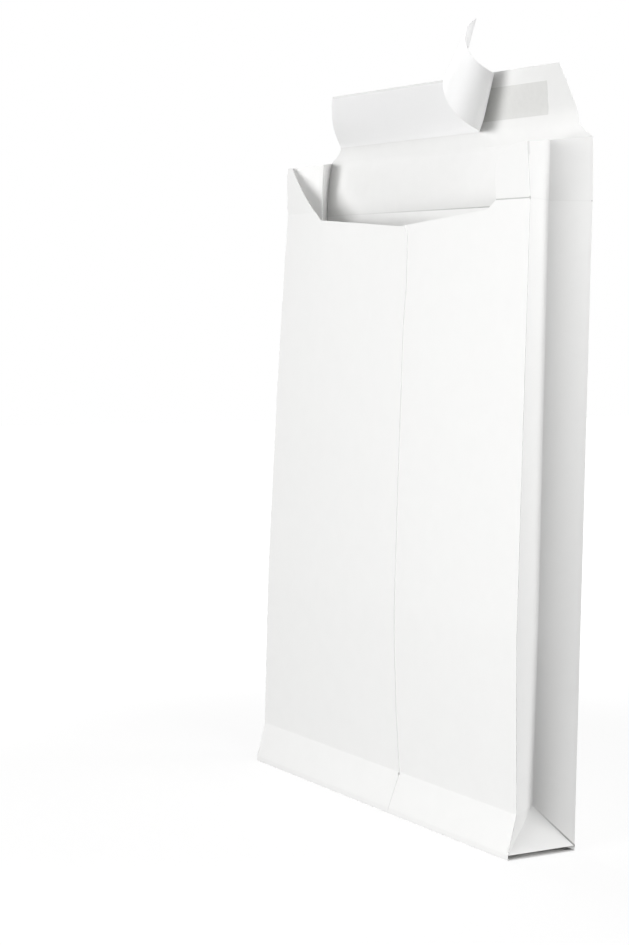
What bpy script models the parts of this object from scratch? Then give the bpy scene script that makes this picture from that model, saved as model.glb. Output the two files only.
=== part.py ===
# Gusset envelope of white paper, standing open on its block bottom: one folded sheet,
# the glue strip on its closing flap, and the release liner partly peeled off that strip.
# Metres, +Z up. The origin is the middle of the base. The seamed front panel faces -Y.
import math

import bmesh
import bpy
import numpy as np

# Body of the envelope
WIDTH = 0.229              # across the front and back panels
BASE_DEPTH = 0.0383        # front to back of the block bottom
GUSSET_HALF = 0.020        # paper from a side edge to the centre fold of a gusset
PAPER = 0.0003             # thickness of the sheet
LOW_CREASE = 0.0207        # height of the crease round the block bottom
TOP_CREASE = 0.2974        # height of the crease below the ears
BACK_RISE = 0.0286         # from that crease to the top of the back panel, where the flap starts
HEIGHT = TOP_CREASE + BACK_RISE
SLIT = 0.0019              # height of the open pocket under each end of the base
TUCK_LENGTH = 0.017        # how far the tuck of a gusset reaches in over the base
TUCK_SINK = 0.0010         # how much lower the tuck lies at its inner edge
TUCK_INSET = 0.0012        # from a corner of the base to the tuck

# How far the centre fold of each gusset is pushed in, from the low crease to the top
FOLD_SPOTS = (0.0, 0.29, 1.0, 1.1)        # 1 is the top crease
RIGHT_FOLD = (0.0105, 0.0082, 0.0095, 0.0074)
LEFT_FOLD = (0.0105, 0.0110, 0.0158, 0.0146)

# Front panel: the lap of its two halves, the throat and the ears
SEAM_X = 0.016             # edge of the outer half, from the middle of the panel
SEAM_STEP = 0.0003         # how far the outer half stands proud at its edge
SEAM_EASE = 0.060          # width over which the step fades away
EAR_HEIGHT = 0.0245        # above the top crease, at the side edge
RIGHT_EAR = 0.0253         # width of the right ear, whose corner is rounded
EAR_BODY = 0.0085          # height of the straight inner edge of the right ear
EAR_ROUND = 2.5            # power of the right ear's rounded corner; 2 is an ellipse
LEFT_EAR = 0.0315          # width of the left ear, whose edge is hollow
LEFT_TOP = 0.0045          # level top of the left ear
LEFT_HOLLOW = 1.2          # power of the left ear's falling edge; 1 is straight
THROAT_X = 0.012           # lowest point of the throat, from the middle
THROAT_DIP = 0.0099        # from the top crease down to that point
CORNER_DROP = 0.0042       # from the top crease down to the corners of the throat
CORNER_RUN = 0.0065        # from an ear to that corner

# Top of the back panel and the closing flap
BACK_BULGE = 0.0015        # forward bulge of the back panel above the top crease
LEFT_SWING = 0.0028        # how far the left top corner stands back of the panel
RIGHT_SWING = -0.0009      # the same for the right top corner
NECK = 0.009               # height of the flap's flared neck
FLAP_HALF = 0.0975         # half width of the flap at its top edge
FLAP_TAPER = 0.0055        # how much further each side stands out at the top of the neck
NECK_HALF = FLAP_HALF + FLAP_TAPER
NECK_BEND = 0.003          # stretch of the neck over which the flap bends forward
NECK_FLARE = 1.7           # power of the flared shoulders
FLAP_Y = 0.0206            # where the outer face of the flap stands at the top of the neck
FLAP_LEAN = math.radians(20)
FLAP_HEIGHT = 0.0268       # slanted height above the neck
FLAP_BOW = 0.0026          # how far its left edge bows forward at half height

# Glue strip and release liner
GAP = 0.0003               # clearance between pieces that touch
GLUE = 0.00015             # thickness of the glue
GLUE_LOW = 0.0037          # lower edge of the glue above the neck
GLUE_WIDTH = 0.0158
GLUE_END = 0.0833          # half length of the glue strip
GLUE_SLANT = 0.0025        # how far each end slants off its middle
LINER = 0.0002             # thickness of the liner
LINER_LOW = -0.0008        # lower edge of the liner above the neck
LINER_WIDTH = 0.0265
LINER_INSET = 0.0008       # from the left edge of the flap to the liner's end
LINER_TAIL = 0.1002        # distance from the middle to the liner's right end, before it was peeled
PEEL_X = 0.0353            # where the middle line of the liner leaves the glue
PEEL_ROLL = 0.00166        # radius of the first bend
PEEL_TURN = math.radians(46)
PEEL_SLANTS = (49.7, 59.8, 73.3, 96.0)                          # degrees, fold line to free end
CURL_LENGTH = 0.062        # length across the bends over which the curl is given
PEEL_CURL = (-1.612, 5.146, 7.874, 6.076, 4.526, 2.48, 2.48)    # radians per curl length, same way

# Fineness of the mesh
BODY_ROWS = 9
BAND_ROWS = 4
PANEL_COLUMNS = 12
EAR_COLUMNS = 6
BACK_COLUMNS = 8
NECK_ROWS = 3
FLAP_ROWS = 5
GLUE_ROWS = 3
GLUE_COLUMNS = 8
LINER_ROWS = 5
LINER_COLUMNS = 6          # where the liner lies flat
ROLL_BENDS = 5
CURL_BENDS = 20
TAIL_COLUMNS = 23          # where the liner curls
SAME_POINT = 1e-6          # points nearer than this are one


def clear_scene():
    for item in list(bpy.data.objects):
        bpy.data.objects.remove(item, do_unlink=True)


def material(name, colour, roughness):
    made = bpy.data.materials.new(name)
    made.use_nodes = True
    shader = made.node_tree.nodes["Principled BSDF"]
    shader.inputs["Base Color"].default_value = (*colour, 1)
    shader.inputs["Roughness"].default_value = roughness
    shader.inputs["Metallic"].default_value = 0
    return made


def envelope_paper():
    return material("white_envelope_paper", (0.93, 0.93, 0.93), 0.65)


def glue_film():
    return material("pressure_sensitive_glue", (0.76, 0.76, 0.75), 0.35)


def liner_paper():
    return material("coated_release_paper", (0.95, 0.95, 0.95), 0.4)


class Sheet:
    """An open surface built from grids and flat faces that share their border points."""

    def __init__(self):
        self.mesh = bmesh.new()
        self.known = {}

    def point(self, place):
        key = tuple(round(value / SAME_POINT) for value in place)
        if key not in self.known:
            self.known[key] = self.mesh.verts.new(place)
        return self.known[key]

    def face(self, places, flip=False):
        corners = []
        for place in places:
            corner = self.point(place)
            if corner not in corners:
                corners.append(corner)
        if flip:
            corners.reverse()
        self.mesh.faces.new(corners)

    def grid(self, rows):
        """Faces between rows of points; each row runs round the envelope, rows go up."""
        for low, high in zip(rows[:-1], rows[1:]):
            for i in range(len(low) - 1):
                self.face([low[i], low[i + 1], high[i + 1], high[i]])

    def make_object(self, name, thickness, skin):
        data = bpy.data.meshes.new(name)
        self.mesh.to_mesh(data)
        self.mesh.free()
        made = bpy.data.objects.new(name, data)
        data.materials.append(skin)
        shell = made.modifiers.new("thickness", "SOLIDIFY")
        shell.thickness = thickness
        shell.offset = -1
        shell.use_even_offset = True
        shell.use_quality_normals = True
        return made


def pushed_in(side, z):
    """How far the centre fold of the gusset on one side is pushed in at a height."""
    share = (z - LOW_CREASE) / (TOP_CREASE - LOW_CREASE)
    return float(np.interp(share, FOLD_SPOTS, RIGHT_FOLD if side > 0 else LEFT_FOLD))


def back_edge(side, z):
    y = BASE_DEPTH / 2
    if z > TOP_CREASE:
        swing = RIGHT_SWING if side > 0 else LEFT_SWING
        y += swing * ((z - TOP_CREASE) / BACK_RISE) ** 2
    return np.array([side * WIDTH / 2, y, z])


def half_depth(side, z):
    return math.sqrt(GUSSET_HALF ** 2 - pushed_in(side, z) ** 2)


def centre_fold(side, z):
    return back_edge(side, z) - np.array([side * pushed_in(side, z), half_depth(side, z), 0])


def front_edge(side, z):
    """The side edge of the front panel; below the low crease it runs straight to the base."""
    if z >= LOW_CREASE:
        return back_edge(side, z) - np.array([0, 2 * half_depth(side, z), 0])
    crease = front_edge(side, LOW_CREASE)
    share = max(z - SLIT, 0) / (LOW_CREASE - SLIT)
    foot = -BASE_DEPTH / 2
    return np.array([side * WIDTH / 2, foot + (crease[1] - foot) * share, z])


def front_point(x, z):
    """A point of the front panel: flat from the right edge to the seam, then easing to the left edge."""
    right = front_edge(1, z)[1]
    left = front_edge(-1, z)[1]
    share = min(max((SEAM_X - x) / (SEAM_X + WIDTH / 2), 0), 1)
    ease = share * share * (3 - 2 * share)
    y = right + (left - right) * ease
    if x <= SEAM_X:
        step = max(0, 1 - (SEAM_X - x) / SEAM_EASE)
        y -= SEAM_STEP * step * min(z / LOW_CREASE, 1)
    return np.array([x, y, z])


def back_point(x, z):
    """A point of the back panel: straight across between its side edges, bulged above the crease."""
    right = back_edge(1, z)
    left = back_edge(-1, z)
    share = (x + WIDTH / 2) / WIDTH
    place = left + (right - left) * share
    if z > TOP_CREASE:
        rise = (z - TOP_CREASE) / BACK_RISE
        place[1] -= BACK_BULGE * math.sin(math.pi * rise) * (1 - (2 * x / WIDTH) ** 2)
    return place


def ear_inner(side):
    """Where an ear ends and the throat begins."""
    return side * (WIDTH / 2 - (RIGHT_EAR if side > 0 else LEFT_EAR))


def throat_corner(side):
    return ear_inner(side) - side * CORNER_RUN


def throat_height(x):
    """Height of the front panel's top edge between the ears, and the crease below the ears."""
    side = 1 if x > THROAT_X else -1
    inner = ear_inner(side)
    corner = throat_corner(side)
    if abs(x) >= abs(inner):
        return TOP_CREASE
    if abs(x) > abs(corner):
        return TOP_CREASE - CORNER_DROP * (inner - x) / (inner - corner)
    rise = (THROAT_DIP - CORNER_DROP) * (x - THROAT_X) / (corner - THROAT_X)
    return TOP_CREASE - THROAT_DIP + rise


def ear_top(side, reach):
    """Height of an ear above the top crease, at a distance from the side edge.

    The right one has a straight inner edge under a rounded corner, the left one falls in a hollow.
    """
    if side > 0:
        share = min(reach / RIGHT_EAR, 1)
        return EAR_BODY + (EAR_HEIGHT - EAR_BODY) * (1 - share ** EAR_ROUND) ** (1 / EAR_ROUND)
    share = min(max(reach - LEFT_TOP, 0) / (LEFT_EAR - LEFT_TOP), 1)
    return EAR_HEIGHT * (1 - share) ** LEFT_HOLLOW


def ear_columns(side):
    """Places across an ear, inner edge to side edge."""
    if side > 0:
        reaches = RIGHT_EAR * np.sin(np.linspace(math.pi / 2, 0, EAR_COLUMNS + 1))
    else:
        reaches = np.append(np.linspace(LEFT_EAR, LEFT_TOP, EAR_COLUMNS + 1), 0)
    return [side * (WIDTH / 2 - reach) for reach in reaches]


def front_columns():
    """Places across the front panel, left to right, with one at each corner of its outline."""
    left = np.linspace(throat_corner(-1), THROAT_X, PANEL_COLUMNS + 1)
    right = np.linspace(SEAM_X + SEAM_STEP, throat_corner(1), PANEL_COLUMNS // 2 + 1)
    return ear_columns(-1)[::-1] + list(left) + [SEAM_X] + list(right) + ear_columns(1)


def back_columns():
    """Places across the back panel, right to left, as it is seen from behind."""
    return list(np.linspace(WIDTH / 2, -WIDTH / 2, BACK_COLUMNS + 1))


def body_heights():
    return list(np.linspace(LOW_CREASE, TOP_CREASE, BODY_ROWS + 1))


def add_panels(sheet):
    """Front and back panels from the low crease to the throat and the top crease."""
    rows = []
    for share in np.linspace(0, 1, BODY_ROWS + 1):
        heights = [LOW_CREASE + share * (throat_height(x) - LOW_CREASE) for x in front_columns()]
        rows.append([front_point(x, z) for x, z in zip(front_columns(), heights)])
    sheet.grid(rows)
    sheet.grid([[back_point(x, z) for x in back_columns()] for z in body_heights()])


def add_gussets(sheet):
    """Both halves of each gusset, from the low crease to the top of the ears and the back panel."""
    above = np.linspace(0, 1, BAND_ROWS + 1)[1:]
    for side in (1, -1):
        fronts = [front_edge(side, z) for z in body_heights()]
        folds = [centre_fold(side, z) for z in body_heights()]
        backs = [back_edge(side, z) for z in body_heights()]
        fold_rise = (EAR_HEIGHT + BACK_RISE) / 2
        fronts += [front_edge(side, TOP_CREASE + share * EAR_HEIGHT) for share in above]
        folds += [centre_fold(side, TOP_CREASE + share * fold_rise) for share in above]
        backs += [back_edge(side, TOP_CREASE + share * BACK_RISE) for share in above]
        rows = [list(row) for row in zip(fronts, folds, backs)]
        if side < 0:
            rows = [row[::-1] for row in rows]
        sheet.grid(rows)


def add_ears(sheet):
    """The two rounded ears of the front panel above the top crease."""
    for side in (1, -1):
        columns = ear_columns(side)
        if side < 0:
            columns.reverse()
        rows = []
        for share in np.linspace(0, 1, BAND_ROWS + 1):
            heights = [TOP_CREASE + share * ear_top(side, WIDTH / 2 - abs(x)) for x in columns]
            rows.append([front_point(x, z) for x, z in zip(columns, heights)])
        sheet.grid(rows)


def add_block_bottom(sheet):
    """Bands below the low crease, the base, and the folded end of each gusset with its tuck."""
    front_rows = [[front_point(x, z) for x in front_columns()] for z in (0, SLIT, LOW_CREASE)]
    back_rows = [[back_point(x, z) for x in back_columns()] for z in (0, SLIT, LOW_CREASE)]
    sheet.grid(front_rows)
    sheet.grid(back_rows)
    sheet.face(front_rows[0] + back_rows[0], flip=True)
    for side in (1, -1):
        add_gusset_end(sheet, side)


def add_gusset_end(sheet, side):
    """The triangle that closes one end of the block bottom, and the tuck that folds in from it."""
    flip = side < 0
    apex = centre_fold(side, LOW_CREASE)
    front_low = front_edge(side, SLIT)
    back_low = back_point(side * WIDTH / 2, SLIT)
    across = (back_low - front_low) / np.linalg.norm(back_low - front_low)
    front_tuck = front_low + across * TUCK_INSET
    back_tuck = back_low - across * TUCK_INSET
    sheet.face([front_low, apex, front_edge(side, LOW_CREASE)], flip)
    sheet.face([back_low, back_edge(side, LOW_CREASE), apex], flip)
    sheet.face([front_low, front_tuck, back_tuck, back_low, apex], flip)
    inward = np.array([-side * TUCK_LENGTH, 0, -TUCK_SINK])
    taper = across * TUCK_LENGTH
    sheet.face([back_tuck, front_tuck, front_tuck + inward + taper, back_tuck + inward - taper], flip)


def flap_half(height):
    """Half width of the flap at a height above its fold: flared shoulders, then straight sides."""
    if height <= NECK:
        return NECK_HALF + (WIDTH / 2 - NECK_HALF) * (1 - height / NECK) ** NECK_FLARE
    return NECK_HALF + (FLAP_HALF - NECK_HALF) * (height - NECK) / FLAP_HEIGHT


def flap_line(height):
    """Y and Z of the flap's outer face: upright, one arc near the top of the neck, then a plane."""
    arc = NECK_BEND / FLAP_LEAN
    drop = arc * (1 - math.cos(FLAP_LEAN))
    start = FLAP_Y + drop
    rise = HEIGHT + NECK - NECK_BEND
    if height <= NECK - NECK_BEND:
        return start, HEIGHT + height
    if height <= NECK:
        angle = (height - NECK + NECK_BEND) / arc
        return start - arc * (1 - math.cos(angle)), rise + arc * math.sin(angle)
    beyond = height - NECK
    return FLAP_Y - beyond * math.sin(FLAP_LEAN), neck_top() + beyond * math.cos(FLAP_LEAN)


def neck_top():
    """Height at which the flat part of the flap begins."""
    return HEIGHT + NECK - NECK_BEND + NECK_BEND / FLAP_LEAN * math.sin(FLAP_LEAN)


def flap_bow(x, height):
    """How far the flap bows forward near its left edge, at a slanted height above its neck."""
    rise = min(max(height / FLAP_HEIGHT, 0), 1)
    return FLAP_BOW * math.sin(math.pi * rise) * min(max(-x / FLAP_HALF, 0), 1) ** 2


def flap_point(share, height):
    """A point of the flap; share goes from 1 at its right edge to -1 at its left edge."""
    y, z = flap_line(height)
    x = share * flap_half(height)
    bow = flap_bow(x, height - NECK)
    y -= bow * math.cos(FLAP_LEAN)
    z -= bow * math.sin(FLAP_LEAN)
    if height < NECK:
        root = back_point(share * WIDTH / 2, HEIGHT)[1]
        y += (root - flap_line(0)[0]) * (1 - height / NECK) ** 2
    return np.array([x, y, z])


def add_flap(sheet):
    """The upper band of the back panel and the closing flap above it."""
    heights = np.linspace(TOP_CREASE, HEIGHT, BAND_ROWS + 1)
    sheet.grid([[back_point(x, z) for x in back_columns()] for z in heights])
    rises = list(np.linspace(0, NECK - NECK_BEND, NECK_ROWS + 1))
    rises += list(np.linspace(NECK - NECK_BEND, NECK, NECK_ROWS + 1)[1:])
    rises += list(np.linspace(NECK, NECK + FLAP_HEIGHT, FLAP_ROWS + 1)[1:])
    shares = [2 * x / WIDTH for x in back_columns()]
    sheet.grid([[flap_point(share, rise) for share in shares] for rise in rises])


def envelope_body():
    sheet = Sheet()
    add_panels(sheet)
    add_gussets(sheet)
    add_ears(sheet)
    add_block_bottom(sheet)
    add_flap(sheet)
    return sheet.make_object("envelope_body", PAPER, envelope_paper())


def on_flap(x, height, lift):
    """A point above the inner face of the flap, by its distance across, above the neck and off it."""
    out = lift + PAPER + flap_bow(x, height)
    y = FLAP_Y - height * math.sin(FLAP_LEAN) - out * math.cos(FLAP_LEAN)
    z = neck_top() + height * math.cos(FLAP_LEAN) - out * math.sin(FLAP_LEAN)
    return np.array([x, y, z])


def adhesive_strip():
    """The strip of glue on the flap: a thin plate with slanting ends."""
    rows = []
    for rise in np.linspace(0, 1, GLUE_ROWS + 1):
        reach = GLUE_END + GLUE_SLANT * (2 * rise - 1)
        places = np.linspace(-reach, reach, GLUE_COLUMNS + 1)
        rows.append([on_flap(x, GLUE_LOW + rise * GLUE_WIDTH, GAP + GLUE) for x in places])
    sheet = Sheet()
    sheet.grid(rows)
    return sheet.make_object("adhesive_strip", GLUE, glue_film())


def peel_bends():
    """Where each bend crosses the liner's middle line, its slant and its turn, fold line first."""
    roll = PEEL_ROLL * PEEL_TURN
    first = (np.arange(ROLL_BENDS) + 0.5) / ROLL_BENDS * roll
    edges = np.linspace(roll, CURL_LENGTH, CURL_BENDS + 1)
    rest = (edges[1:] + edges[:-1]) / 2
    spots = np.linspace(roll, CURL_LENGTH, len(PEEL_CURL))
    roll_turns = np.full(ROLL_BENDS, PEEL_TURN / ROLL_BENDS)
    rest_turns = np.interp(rest, spots, PEEL_CURL) * (edges[1] - edges[0]) / CURL_LENGTH
    turns = np.concatenate([roll_turns, rest_turns])
    along = np.concatenate([first, rest])
    slants = np.radians(np.interp(along, np.linspace(0, CURL_LENGTH, len(PEEL_SLANTS)), PEEL_SLANTS))
    return along / math.sin(math.radians(PEEL_SLANTS[0])), slants, turns


def peel(flat):
    """Bend the flat liner: each bend turns all that lies beyond its line about that line."""
    places = flat.copy()
    along, slants, turns = peel_bends()
    for middle, slant, turn in reversed(list(zip(along, slants, turns))):
        origin = np.array([PEEL_X + middle, 0, 0])
        axis = np.array([math.cos(slant), math.sin(slant), 0])
        across = np.array([math.sin(slant), -math.cos(slant), 0])
        beyond = (flat - origin) @ across > 0
        arm = places - origin
        turned = arm * math.cos(turn) - np.cross(axis, arm) * math.sin(turn)
        turned += axis * (arm @ axis)[..., None] * (1 - math.cos(turn))
        places = np.where(beyond[..., None], origin + turned, places)
    return places


def release_liner():
    """The liner: flat on the glue at the left, then peeled off along a slanting fold and curled."""
    heights = np.linspace(-LINER_WIDTH / 2, LINER_WIDTH / 2, LINER_ROWS + 1)
    fold = PEEL_X + heights / math.tan(math.radians(PEEL_SLANTS[0]))
    above_neck = np.maximum(LINER_LOW + LINER_WIDTH / 2 + heights, 0)
    left = np.array([LINER_INSET - flap_half(NECK + height) for height in above_neck])
    roll = 2 * PEEL_ROLL * PEEL_TURN / (LINER_TAIL - PEEL_X)
    roll_shares = np.linspace(0, roll, ROLL_BENDS + 1)
    tail_shares = np.linspace(roll, 1, TAIL_COLUMNS + 1)[1:]
    columns = [left + share * (fold - left) for share in np.linspace(0, 1, LINER_COLUMNS + 1)[:-1]]
    columns += [fold + share * (LINER_TAIL - fold) for share in np.append(roll_shares, tail_shares)]
    flat = np.stack([np.stack([x, heights, np.zeros_like(x)], -1) for x in columns])
    bent = peel(flat)
    lift = 2 * GAP + GLUE + LINER
    rows = []
    for j in range(LINER_ROWS + 1):
        row = []
        for x, up, out in bent[:, j]:
            row.append(on_flap(x, LINER_LOW + LINER_WIDTH / 2 + up, lift + out))
        rows.append(row)
    sheet = Sheet()
    sheet.grid(rows)
    return sheet.make_object("release_liner", LINER, liner_paper())


def main():
    clear_scene()
    envelope = bpy.data.collections.new("gusset_envelope")
    bpy.context.scene.collection.children.link(envelope)
    for piece in (envelope_body(), adhesive_strip(), release_liner()):
        envelope.objects.link(piece)


main()
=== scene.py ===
import math

import bmesh
import bpy
import numpy as np
from mathutils import Matrix, Vector


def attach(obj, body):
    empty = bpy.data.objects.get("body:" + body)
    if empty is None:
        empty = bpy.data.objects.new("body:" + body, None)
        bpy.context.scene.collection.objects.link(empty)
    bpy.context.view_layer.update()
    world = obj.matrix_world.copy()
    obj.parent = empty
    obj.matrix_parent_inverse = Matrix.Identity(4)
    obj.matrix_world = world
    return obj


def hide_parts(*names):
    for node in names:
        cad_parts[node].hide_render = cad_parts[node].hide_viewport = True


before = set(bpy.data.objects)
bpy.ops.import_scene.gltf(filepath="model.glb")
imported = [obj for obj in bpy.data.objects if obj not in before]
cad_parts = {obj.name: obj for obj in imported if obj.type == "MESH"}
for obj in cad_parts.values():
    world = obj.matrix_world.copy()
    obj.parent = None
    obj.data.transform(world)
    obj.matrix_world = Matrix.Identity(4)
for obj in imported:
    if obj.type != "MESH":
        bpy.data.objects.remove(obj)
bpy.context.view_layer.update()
print("frame loaded:", sorted(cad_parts))

mm = 0.001                  # shapes are worked out in millimetres and become metres when a mesh is made
samePoint = 0.004           # mm; points of two grids nearer than this are one
creaseSlack = 0.25          # mm; how near to a crease an edge has to lie


# Small tools.

def hexToLinear(code):
    # sRGB hex to linear: c / 12.92 up to 0.04045, else ((c + 0.055) / 1.055) ^ 2.4
    parts = [int(code[i:i + 2], 16) / 255 for i in (0, 2, 4)]
    return tuple(c / 12.92 if c <= 0.04045 else ((c + 0.055) / 1.055) ** 2.4 for c in parts) + (1,)


def eased(t):
    # 3 t^2 - 2 t^3, level at both ends
    t = np.clip(t, 0, 1)
    return t * t * (3 - 2 * t)


def along(a, b, shares):
    # straight lines from the points a to the points b, one column for each share
    shares = np.asarray(shares)[None, :, None]
    return a[:, None] * (1 - shares) + b[:, None] * shares


def roundFold(a, corner, b, count):
    # quadratic curve from a to b that is pulled towards the corner, one for each row
    t = np.linspace(0, 1, count + 1)[None, :, None]
    return a[:, None] * (1 - t) ** 2 + corner[:, None] * 2 * t * (1 - t) + b[:, None] * t ** 2


def towards(a, b):
    # unit vectors from a to b; zero where they meet
    arm = b - a
    length = np.linalg.norm(arm, axis=-1, keepdims=True)
    return arm / np.maximum(length, 1e-9) * (length > 1e-6)


def gridFaces(rows, columns, start):
    # four corners of every cell of a grid whose points are numbered row by row
    index = start + np.arange(rows * columns).reshape(rows, columns)
    cells = [index[:-1, :-1], index[:-1, 1:], index[1:, 1:], index[1:, :-1]]
    return np.stack(cells, -1).reshape(-1, 4)


def sharpCreases(mesh, creases):
    # a crease stays crisp: an edge is sharp where both its ends lie at the height of the crease
    places = np.empty(len(mesh.vertices) * 3)
    ends = np.empty(len(mesh.edges) * 2, np.int32)
    sharp = np.empty(len(mesh.edges), bool)
    mesh.vertices.foreach_get("co", places)
    mesh.edges.foreach_get("vertices", ends)
    mesh.edges.foreach_get("use_edge_sharp", sharp)
    heights = places.reshape(-1, 3)[ends.reshape(-1, 2), 2]
    for crease in creases:
        sharp |= (np.abs(heights - crease * mm) < creaseSlack * mm).all(1)
    mesh.edges.foreach_set("use_edge_sharp", sharp)


def sheetObject(name, grids, skins, thickness, sharpAngle, creases=()):
    # joins grids at their common borders, gives the sheet its thickness inwards and smooths it;
    # the second skin, where there is one, is the inner side of the sheet
    places, faces, start = [], [], 0
    for grid in grids:
        rows, columns = grid.shape[:2]
        places.append(grid.reshape(-1, 3) * mm)
        faces.append(gridFaces(rows, columns, start))
        start += rows * columns
    raw = bpy.data.meshes.new(name + "Raw")
    raw.from_pydata(np.concatenate(places).tolist(), [], np.concatenate(faces).tolist())
    joined = bmesh.new()
    joined.from_mesh(raw)
    bmesh.ops.remove_doubles(joined, verts=joined.verts, dist=samePoint * mm)
    bmesh.ops.dissolve_degenerate(joined, edges=joined.edges, dist=samePoint / 2 * mm)
    joined.to_mesh(raw)
    joined.free()
    for skin in skins:
        raw.materials.append(skin)
    draft = bpy.data.objects.new(name + "Draft", raw)
    bpy.context.scene.collection.objects.link(draft)
    shell = draft.modifiers.new("paper thickness", "SOLIDIFY")
    shell.thickness = thickness * mm
    shell.offset = -1
    shell.use_even_offset = True
    shell.use_quality_normals = True
    shell.material_offset = len(skins) - 1
    ready = draft.evaluated_get(bpy.context.evaluated_depsgraph_get())
    mesh = bpy.data.meshes.new_from_object(ready)
    mesh.name = name
    bpy.data.objects.remove(draft)
    bpy.data.meshes.remove(raw)
    mesh.polygons.foreach_set("use_smooth", np.ones(len(mesh.polygons), bool))
    mesh.set_sharp_from_angle(angle=math.radians(sharpAngle))
    sharpCreases(mesh, creases)
    piece = bpy.data.objects.new(name, mesh)
    bpy.context.scene.collection.objects.link(piece)
    print("made", name, len(mesh.polygons), "faces")
    return piece


def addNode(tree, kind, settings=None, values=None, links=None):
    # adds a node; settings are its own properties, values its sockets, links (socket -> output)
    node = tree.nodes.new(kind)
    for key, value in (settings or {}).items():
        setattr(node, key, value)
    for key, value in (values or {}).items():
        node.inputs[key].default_value = value
    for key, output in (links or {}).items():
        tree.links.new(output, node.inputs[key])
    return node


def newMaterial(name):
    # a material with its node tree and its shader
    made = bpy.data.materials.new(name)
    made.use_nodes = True
    return made, made.node_tree, made.node_tree.nodes["Principled BSDF"]


def roughen(tree, shader, look, depth, height, pattern):
    # a slight relief from the height, and a roughness that plays between two values with the pattern
    bump = addNode(tree, "ShaderNodeBump", values={"Strength": look["relief"], "Distance": depth * mm},
                   links={"Height": height})
    tree.links.new(bump.outputs[0], shader.inputs["Normal"])
    low, high = look["roughness"]
    spread = addNode(tree, "ShaderNodeMapRange", {}, {"To Min": low, "To Max": high}, {"Value": pattern})
    tree.links.new(spread.outputs[0], shader.inputs["Roughness"])


# The sheet of paper: sizes in millimetres.

body = {
    "width": 229.0,
    "depth": 38.3,              # of the block bottom
    "gussetHalf": 20.0,         # paper from a side edge to the centre fold
    "lowCrease": 20.7,          # height of the crease round the block bottom
    "topCrease": 297.4,         # height of the crease below the ears
    "backRise": 28.6,           # top crease to the flap's fold
    "paper": 0.3,
    "sharp": 28,                # degrees from which an edge of the sheet counts as folded
    "foldRadius": 0.42,         # how softly the long folds turn
    "footEase": 8.0,            # height over which the front and back folds reach that radius
    "centreEase": 6.0,          # the same for the centre fold
    "flapEase": 6.0,            # the same for the back fold below the flap
    "slit": 2.5,                # open pocket under each end of the base
    "lip": 0.3,                 # how far the fold above that pocket stands out
    "lipHeight": 0.45,
    "tuckLength": 17.0,         # how far the paper is folded in over the base
    "tuckSink": 1.0,            # how much lower it lies at its inner edge
    "tuckInset": 1.2,           # from a corner of the base to the tuck
    "foldSpots": (0.0, 0.29, 1.0, 1.1),         # low crease to above the top crease
    "rightFold": (10.5, 8.2, 9.5, 7.4),         # how far the centre fold is pushed in there
    "leftFold": (10.5, 11.0, 15.8, 14.6),
    "frontHalfBulge": 0.15,     # how far the halves of a gusset swell outwards
    "rearHalfBulge": -0.15,
    "bulgeEase": 25.0,          # height above the low crease over which they start to swell
    "wave": 0.22,               # how far the flat panels wander
    "frontPhase": 0.7,
    "backPhase": 2.1,
    "waveEase": (60.0, 40.0),   # height over which that starts at the low crease and ends at the top
    "ripples": ((31, 70, 1, 1.0), (19, -47, 2, 0.6), (math.inf, 38, 1, 0.5)),   # across, up, phase, share
    "backBulge": 3.8,           # how far the back panel bows forward above its crease
    "bulgeRise": 0.22,          # share of the height over which that bow builds up
    "leftSwing": 2.8,           # how far the left top corner stands back of the panel
    "rightSwing": -0.9,         # the same for the right top corner
}

mouth = {
    "seamX": 16.0,              # where the lap of the two front halves ends
    "seamReach": 40.0,          # how far to each side the panel's columns follow the seam's line
    "seamStep": 0.3,            # how far the outer half stands proud
    "seamEase": 60.0,           # width over which the step fades away
    "seamMark": (-0.06, 0.2, 1.0),      # from and to across the seam's line, and from which height up
    "sideMark": (0.17, 2.0),            # from the side edge inwards, and from which height above the slit
    "seamHeights": (0.0, 20.0, 26.0, 52.0, 86.0, 195.0, 241.0, 258.0, 283.5, 285.2, 287.2),
    "seamPlaces": (15.7, 19.2, 18.6, 16.2, 14.8, 16.6, 17.0, 18.6, 18.4, 18.3, 15.6),
    "earHeight": 24.5,
    "rightEar": 25.3,           # width of the right ear, whose corner is rounded
    "earBody": 8.5,             # height of its straight inner edge
    "earRound": 2.5,            # power of its corner; 2 is an ellipse
    "leftEar": 31.5,            # width of the left ear, whose edge is hollow
    "leftTop": 4.5,             # its level top
    "leftHollow": 1.2,          # power of its falling edge; 1 is straight
    "throatX": 12.0,            # lowest point of the throat
    "throatDip": 9.9,           # from the top crease down to that point
    "cornerDrop": 4.2,          # from the top crease down to the corners of the throat
    "cornerRun": 6.5,           # from an ear to that corner
}

flap = {
    "neck": 9.0,                # height of the flared neck
    "neckHalf": 103.0,
    "neckBend": 9.0,            # stretch over which the neck bends forward
    "settle": 16.0,             # height over which the flap leaves the line of the back panel
    "neckFlare": 1.7,           # power of the flared shoulders
    "outerY": 20.6,             # where the outer face stands at the top of the neck
    "lean": math.radians(20),
    "height": 26.8,             # slanted height above the neck
    "topHalf": 97.5,
    "bow": 2.6,                 # how far the left edge bows forward at half height
    "dimple": 0.5,              # soft buckle below the fold of the release strip
    "dimpleX": 33.0,
    "dimpleHeight": -3.5,       # from the top of the neck
    "dimpleSlant": 0.6,
    "dimpleSize": (3.2, 3.0),   # across and up
}


# The sheet of paper: its shapes as functions of place.

def pushedIn(side, z):
    # depth of a centre fold, read between given spots from the low crease up
    share = (z - body["lowCrease"]) / (body["topCrease"] - body["lowCrease"])
    return np.interp(share, body["foldSpots"], body["rightFold"] if side > 0 else body["leftFold"])


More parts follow.
